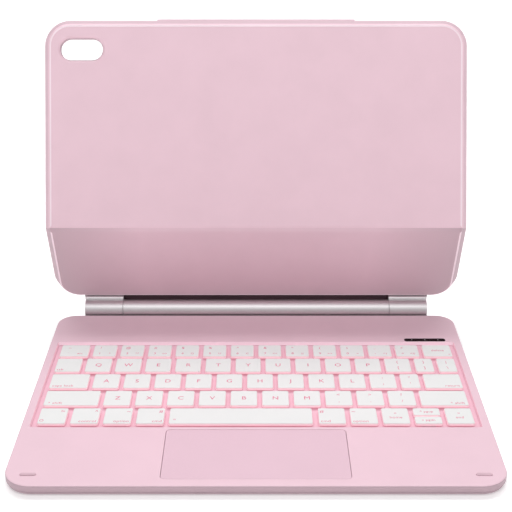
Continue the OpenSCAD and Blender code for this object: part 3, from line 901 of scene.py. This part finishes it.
def bottom_legends():
    """Legends of the bottom row."""
    return [[("fn", 2.0, 0.32, 0.3), ("O", 2.2, -0.36, -0.3)],
            modifier("^", "control", 1), modifier("~", "option", 1), modifier("#", "cmd", 1),
            modifier("#", "cmd", -1), modifier("~", "option", -1),
            [("<", 2.1, 0, 0.16), ("home", 2.1, 0, -0.1)], [("^ pgup", 1.9, 0, 0)],
            [(">", 2.1, 0, 0.16), ("end", 2.1, 0, -0.1)], [("v pgdn", 1.9, 0, 0)]]


def make_keys():
    """A cap for each letter key, the space bar and each key of the three groups."""
    for letter in "abcdefghijklmnopqrstuvwxyz":
        node = "key_r_letter" if letter == "r" else f"key_{letter}"
        rect = islands(node)[0]
        cap = key_cap(f"cap_{letter}", rect, [(letter.upper(), LETTER_H, 0, 0)], f"{node}_cap")
        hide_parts(node)
    space = key_cap("cap_space", islands("space_bar")[0], [("=", 2.4, -0.46, -0.24)], "space_bar_cap")
    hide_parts("space_bar")
    groups = {"number_row_keys": number_legends(), "side_and_punctuation_keys": side_legends(),
              "bottom_row_keys": bottom_legends()}
    for node, legends in groups.items():
        for i, (rect, marks) in enumerate(zip(islands(node), legends)):
            cap = key_cap(f"{node}_{i + 1}", rect, marks, f"{node}_cap")
            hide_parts(node)


# ---- hinge

BARREL_R = 6.0
BARREL_HALF = node_box("hinge_barrel")[1][0]
KNUCKLE_LOW, KNUCKLE_HIGH = node_box("hinge_knuckle_right")
ARM_SHY = 0.06  # how much shorter the arms are than the round ends, at each end


def turned(name, x0, x1, radius, edge=0.15, steps=64):
    """A round bar along X on the hinge's axis, with eased ends."""
    profile = ((x0, radius - edge), (x0 + edge * 0.35, radius - edge * 0.3), (x0 + edge, radius),
               (x1 - edge, radius), (x1 - edge * 0.35, radius - edge * 0.3), (x1, radius - edge))
    return closed(name, [across(arc(*AXIS, r, 0, 360 - 360 / steps, steps - 1), x) for x, r in profile])


def prism(name, points, x0, x1, bevel):
    """An outline of (y, z) points swept along X, with rounded edges."""
    piece = closed(name, [across(points, x) for x in (x0, x1)])
    piece.modifiers.clear()
    modifier = piece.modifiers.new("round", "BEVEL")
    modifier.width = bevel * MM
    modifier.segments = 3
    modifier.limit_method = "ANGLE"
    modifier.angle_limit = math.radians(40)
    return settle(piece, 30)


def make_hinge():
    """The metal barrel on the base with its bracket, and the lid's two knuckles with their arms."""
    barrel = turned("hinge_tube", -BARREL_HALF, BARREL_HALF, BARREL_R)
    finish(barrel, hinge_finish)
    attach(barrel, "base")
    front, rear, (low, high) = DECK_HIGH[1] - 11, AXIS[0] - 3.4, BRACKET_Z
    bracket = prism("hinge_bracket", [(front, low), (rear, low), (rear, high), (front, high)],
                    -BRACKET_HALF, BRACKET_HALF, 0.2)
    finish(bracket, bracket_shade_metal)
    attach(bracket, "base")
    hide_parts("hinge_barrel")
    for side, node in ((1, "hinge_knuckle_right"), (-1, "hinge_knuckle_left")):
        inner, outer = sorted((side * KNUCKLE_LOW[0], side * KNUCKLE_HIGH[0]))
        knob = turned(node.replace("hinge_", "") + "_round", inner, outer, BARREL_R, 0.2)
        end, heel_n, heel_r = LID_START - 0.2, 4.5, 1.5
        heel = [(end - heel_r + heel_r * math.cos(a), heel_n - heel_r * math.sin(a))
                for a in (math.radians(t) for t in (22, 45, 67, 90))]
        arm_yz = [lower_yz(s, n) for s, n in [(0.5, 4.6), (end, 9.0), (end, heel_n), *heel, (0.5, 3.0)]]
        arm = prism(node.replace("hinge_", "") + "_arm", arm_yz, inner + ARM_SHY, outer - ARM_SHY, 0.3)
        for piece in (knob, arm):
            finish(piece, hinge_finish)
            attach(piece, "lower_panel")
            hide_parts(node)


def make_spine():
    """The soft strip behind the hinge, its inner side darkened as painted shade; its ends curve in at the
    barrel's height.
    """
    half = node_box("spine_skin")[1][0]
    outer_r = AXIS[1] - node_box("spine_skin")[0][2]
    thick = 0.7
    end = lower_yz(LID_START, INNER_N + LID_T)
    # rows of (y, z, direction of the inner side): under the barrel, round it, and up to the lid
    path = [(DECK_HIGH[1] + 0.2 + 0.9 * i, AXIS[1] - outer_r, 0.0, 1.0) for i in range(7)]
    flat_rows = len(path)
    path += [(AXIS[0] + outer_r * math.sin(a), AXIS[1] - outer_r * math.cos(a), -math.sin(a), math.cos(a))
             for a in (math.radians(t) for t in range(0, 91, 9))]
    start = path[-1]
    for i in range(1, 9):
        share = i / 8
        y, z = (a + (b - a) * share for a, b in zip(start[:2], end))
        path.append((y, z, -1.0, 0.0))
    rows = []
    for i, (y, z, ny, nz) in enumerate(path):
        share = min(1.0, max(0.0, (i - flat_rows) / (len(path) - 1 - flat_rows)))
        w = half - 0.6 + 1.1 * share ** 3  # the strip widens towards the lid
        in_y, in_z = y + ny * thick, z + nz * thick
        rows.append([Vector(p) * MM for p in ((-w, y, z), (w, y, z), (w, in_y, in_z), (-w, in_y, in_z))])
    spine = closed("spine_strip", rows, 40)
    finish(spine, spine_finish)
    spine.data.materials.append(lining_shade)
    middle = Vector((0, AXIS[0], AXIS[1])) * MM
    for face in spine.data.polygons:
        facing = middle - face.center
        facing.x = 0
        if face.normal.dot(facing.normalized()) > 0.5:
            face.material_index = 1
    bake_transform(spine)
    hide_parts("spine_skin")


# ---- lid

FOLD_ROWS = 12  # rows of faces across the fold
CAMERA = (-105.3, LID_END - 17.8)  # the middle of the camera's hole, across and along the lid
CAMERA_W, CAMERA_H = 25.6, 13.0


def lid_ring(inset):
    """The lid's outline as (x, s), from the lower left corner round, and where its fold rows are."""
    half = LID_HALF - inset
    low, high = LID_START + BOTTOM_BEVEL * inset, LID_END - inset
    r = LID_R - inset
    rows = [FOLD_S - CREASE + 2 * CREASE * i / FOLD_ROWS for i in range(FOLD_ROWS + 1)]
    points = arc(-half + r, low + r, r, 180, 270, 10) + arc(half - r, low + r, r, 270, 360, 10)
    right = len(points)
    points += [(half, s) for s in rows] + arc(half - r, high - r, r, 0, 90, 10)
    points += arc(-half + r, high - r, r, 90, 180, 10)
    left = len(points)
    points += [(-half, s) for s in reversed(rows)]
    return points, right, left


def on_lid(points, n):
    """Places outline points (x, s) on the lid at n through it."""
    return [lid_point(x, s, n) for x, s in points]


def camera_ring(grow):
    """The outline of the camera's hole, grown by a width."""
    radius = CAMERA_H / 2 - 0.01
    return outline(*pill_rect(*CAMERA, CAMERA_W, CAMERA_H), radius, radius, -grow, 12)


def lid_cap(shape, loop, right, left, hole_ring):
    """Covers one face of the lid: below the fold, across it, and above it round the hole."""
    shape.cap(loop[:right + 1] + [loop[left + FOLD_ROWS]])
    for i in range(FOLD_ROWS):
        a, b = right + i, left + FOLD_ROWS - i
        shape.faces.append((loop[a], loop[a + 1], loop[b - 1], loop[b]))
    shape.cap(loop[right + FOLD_ROWS:left + 1], [hole_ring])


def tone_lid(skin, *finishes, choose):
    """Gives the faces that still have a skin's first material others, as choose(s, n) says."""
    first = len(skin.data.materials) - 1
    for extra in finishes:
        skin.data.materials.append(extra)
    for face in skin.data.polygons:
        if face.material_index:
            continue
        y, z = face.center.y / MM, face.center.z / MM
        s = along_lower((y, z))
        if s < FOLD_S:
            n = (y - AXIS[0]) * math.sin(OPEN) + (z - AXIS[1]) * math.cos(OPEN)
        else:
            s = along_upper((y, z))
            turn = OPEN + BEND
            n = MID_N + (y - FOLD[0]) * math.sin(turn) + (z - FOLD[1]) * math.cos(turn)
        choice = choose(s, n)
        if choice:
            face.material_index = first + choice


def lid_skin(name, profile, hole_profile, material, nodes):
    """One skin of the lid. Profiles list (inset or growth, n) from one face to the other."""
    shape = Shape()
    loops = []
    for inset, n in profile:
        points, right, left = lid_ring(inset)
        loops.append(shape.loop(on_lid(points, n)))
    shape.bands(loops)
    holes = [shape.loop(on_lid(camera_ring(grow), n)) for grow, n in hole_profile]
    wall_start = len(shape.faces)
    shape.band(holes[0], holes[1])
    wall_end = len(shape.faces)
    shape.bands(holes[1:])
    lid_cap(shape, loops[0], right, left, holes[0])
    lid_cap(shape, loops[-1], right, left, holes[-1])
    skin = shape.build(name)
    finish(skin, material)
    # the hole's first wall band gets painted shade
    skin.data.materials.append(hole_wall_shade)
    for face in skin.data.polygons[wall_start:wall_end]:
        face.material_index = 1
    start, end = lid_point(0, FOLD_S - CREASE - 0.6, MID_N), lid_point(0, FOLD_S + CREASE + 0.6, MID_N)
    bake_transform(skin)
    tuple(start)
    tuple(end)
    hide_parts(*nodes)
    return skin


def bevel_tone(s, n):
    """Which finish the outer shell's front bevel has: painted shade below the fold and along the top."""
    if n > INNER_N + BEVEL:
        return 0
    if s < FOLD_S:
        return 1
    share = (s - LID_END + LID_R) / LID_R
    step = sum(share > limit for limit in (0.45, 0.75, 0.93))
    return 1 + step if step > 0 else 0


def face_tone(s, n):
    """Which finish the inner skin has: a painted highlight on its raised rim, painted shade below the
    fold.
    """
    if n < INNER_N - 0.04:
        return 1
    return 2 if s < FOLD_S else 0


def make_lid():
    """The lid's inner face with its raised rim, and the shell behind it with its bevelled front."""
    face, back = INNER_N, INNER_N + LID_T
    joint = face + SKIN_T
    edge = BEVEL - SKIN_T
    inner_profile = [(edge + 0.9, joint), (edge + 0.12, joint), (edge, joint - 0.1),
                     (BEVEL - 0.45, face + 0.5), (BEVEL - 0.2, face + 0.08), (BEVEL + 0.1, face - 0.14),
                     (BEVEL + 0.45, face - 0.18), (BEVEL + 0.8, face - 0.1), (BEVEL + 1.05, face)]
    inner_hole = [(0.0, joint), (0.25, face + 1.0), (1.1, face + 0.35), (1.35, face + 0.1), (1.6, face)]
    inner = lid_skin("lid_inner_face", inner_profile, inner_hole, inner_finish,
                     ["lower_inner_skin", "upper_inner_face", "fold_skin"])
    # painted highlight on the rim and painted shade below the fold
    tone_lid(inner, rim_highlight, low_inner_shade, choose=face_tone)
    outer_profile = [(edge + 0.9, joint + 0.08), (edge - 0.1, joint + 0.08),
                     (0.35, face + BEVEL - 0.45), (0.08, face + BEVEL - 0.05), (0.0, face + BEVEL + 0.35),
                     (0.0, back - 0.9), (0.12, back - 0.45), (0.45, back - 0.12), (0.95, back)]
    outer_hole = [(0.0, joint + 0.08), (0.0, back - 0.5), (0.15, back - 0.15), (0.5, back)]
    outer = lid_skin("lid_outer_shell", outer_profile, outer_hole, outer_finish,
                     ["lower_outer_skin", "upper_outer_shell"])
    # painted shade on the front bevel below the fold and along the top
    tone_lid(outer, low_inner_shade, *top_bevel_shades, choose=bevel_tone)


def make_flap():
    """The pencil flap: a padded tongue, and the soft strip that hinges it to the lid."""
    low_x, high_x = (node_box("pencil_flap")[i][0] for i in (0, 1))
    pivot_n = INNER_N + LID_T + 0.9
    reach, proud, thick = 46.0, 1.3, 1.2  # down the lid's back, past its top edge, and through
    inner = pivot_n - 0.4

    def place(points, n):
        return [Vector((x, *upper_yz(s, n))) * MM for x, s in points]

    tongue = slab("flap_tongue", (low_x, LID_END - reach, high_x, LID_END + proud), inner, inner + thick,
                  0.45, 0.2, (6.0, 0.6), 8, place, hem=1.4)
    finish(tongue, flap_finish)
    # painted light: the hem round the tongue's lower face is lightened
    tongue.data.materials.append(rim_highlight)
    hem_faces = len(outline(0, 0, 1, 1, 0, 0))
    for face in tongue.data.polygons[:hem_faces]:
        face.material_index = 1
    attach(tongue, "flap")
    rows = [(LID_END - 5.0, 0.0), (LID_END - 3.0, 0.0), (LID_END - 1.2, 0.15), (LID_END - 0.2, 0.5)]
    rings = []
    for s, rise in rows:
        ring = [(low_x + 6, inner - 0.5 + rise), (high_x - 6, inner - 0.5 + rise),
                (high_x - 6, inner + rise), (low_x + 6, inner + rise)]
        rings.append([Vector((x, *upper_yz(s, n))) * MM for x, n in ring])
    strip = closed("flap_strip", rings, 40)
    finish(strip, spine_finish)
    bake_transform(strip)
    for piece in (tongue, strip):
        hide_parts("pencil_flap")


# ---- pieces kept from the CAD


def dress_cad():
    """Materials for the CAD nodes that are shown as they are."""
    steel = ("trackpad_frame", "charging_port", "bottom_screws", "hinge_pins", "tablet_magnets")
    looks = [("key_tray", tray_colour_and_glow), ("switch_membrane", film_finish), ("rubber_domes", dome_finish),
             ("scissor_frames", lever_finish), ("circuit_board", board_finish),
             ("battery_cells", foil_finish), ("lower_board", fibre_finish), ("upper_board", fibre_finish),
             *((node, steel_finish) for node in steel)]
    for node, material in looks:
        piece = frame["nodes"][node]
        piece.data.materials.clear()
        piece.data.materials.append(material)


# ---- stage, light and camera


def make_stage():
    """A pale floor that glows more with distance, to be as white far off as near the case."""
    mesh = bpy.data.meshes.new("floor")
    size = 40.0
    corners = [(-size, -size, 0), (size, -size, 0), (size, size, 0), (-size, size, 0)]
    mesh.from_pydata(corners, [], [(0, 1, 2, 3)])
    floor = new_object("floor", mesh)
    n = Nodes("floor_white", (0.93, 0.93, 0.93))
    n.link(n.ramp(n.noise(2.0), (0.925,) * 3, (0.935,) * 3), n.shader.inputs["Base Color"])
    n.put("Roughness", 0.9)
    n.put("Specular IOR Level", 0.1)
    n.put("Emission Color", (1, 1, 1, 1))
    reach = n.add("ShaderNodeVectorMath", operation="LENGTH")
    n.link(n.place, reach.inputs[0])
    glow = n.map_range(reach.outputs["Value"], 0.9, 2.2, 0.27, 1.0)
    n.link(glow, n.shader.inputs["Emission Strength"])
    floor.data.materials.append(n.material)


def area_light(name, place, target, width, height, power):
    """A soft white light that faces its target."""
    light = bpy.data.lights.new(name, "AREA")
    light.shape = "RECTANGLE"
    light.size, light.size_y = width, height
    light.energy = power
    lamp = new_object(name, light)
    lamp.location = place
    lamp.rotation_euler = (Vector(target) - Vector(place)).to_track_quat("-Z", "Y").to_euler()


def make_light():
    """A white world, a light behind and above the lid, and two weaker ones in front."""
    world = bpy.data.worlds.new("studio")
    world.use_nodes = True
    background = world.node_tree.nodes["Background"]
    background.inputs["Color"].default_value = (1, 1, 1, 1)
    background.inputs["Strength"].default_value = 0.4
    bpy.context.scene.world = world
    area_light("back_light", (0, 0.6, 1.35), (0, 0, 0), 1.8, 0.6, 14.0)
    area_light("key_light", (0, -1.3, 0.9), (0, 0, 0.05), 1.6, 0.8, 2.0)
    area_light("front_light", (0, -0.9, 1.5), (0, -0.1, 0), 1.2, 0.6, 7.0)
    bpy.context.scene.view_settings.view_transform = "Standard"


def make_camera():
    """The photograph's view: in front, above, looking down at the crease of the lid."""
    camera = bpy.data.cameras.new("camera")
    camera.sensor_width = 36.0
    camera.lens = 77.98
    camera.clip_start, camera.clip_end = 0.05, 20
    thing = new_object("camera", camera)
    thing.location = (0.0, -0.5417, 0.3261)
    thing.rotation_euler = (math.radians(90 - 23.7), 0, 0)
    bpy.context.scene.camera = thing


make_camera()
make_deck()
make_cover()
make_feet_and_bumpers()
make_window()
make_trackpad()
make_slider()
make_keys()
make_hinge()
make_spine()
make_lid()
make_flap()
dress_cad()
make_stage()
make_light()
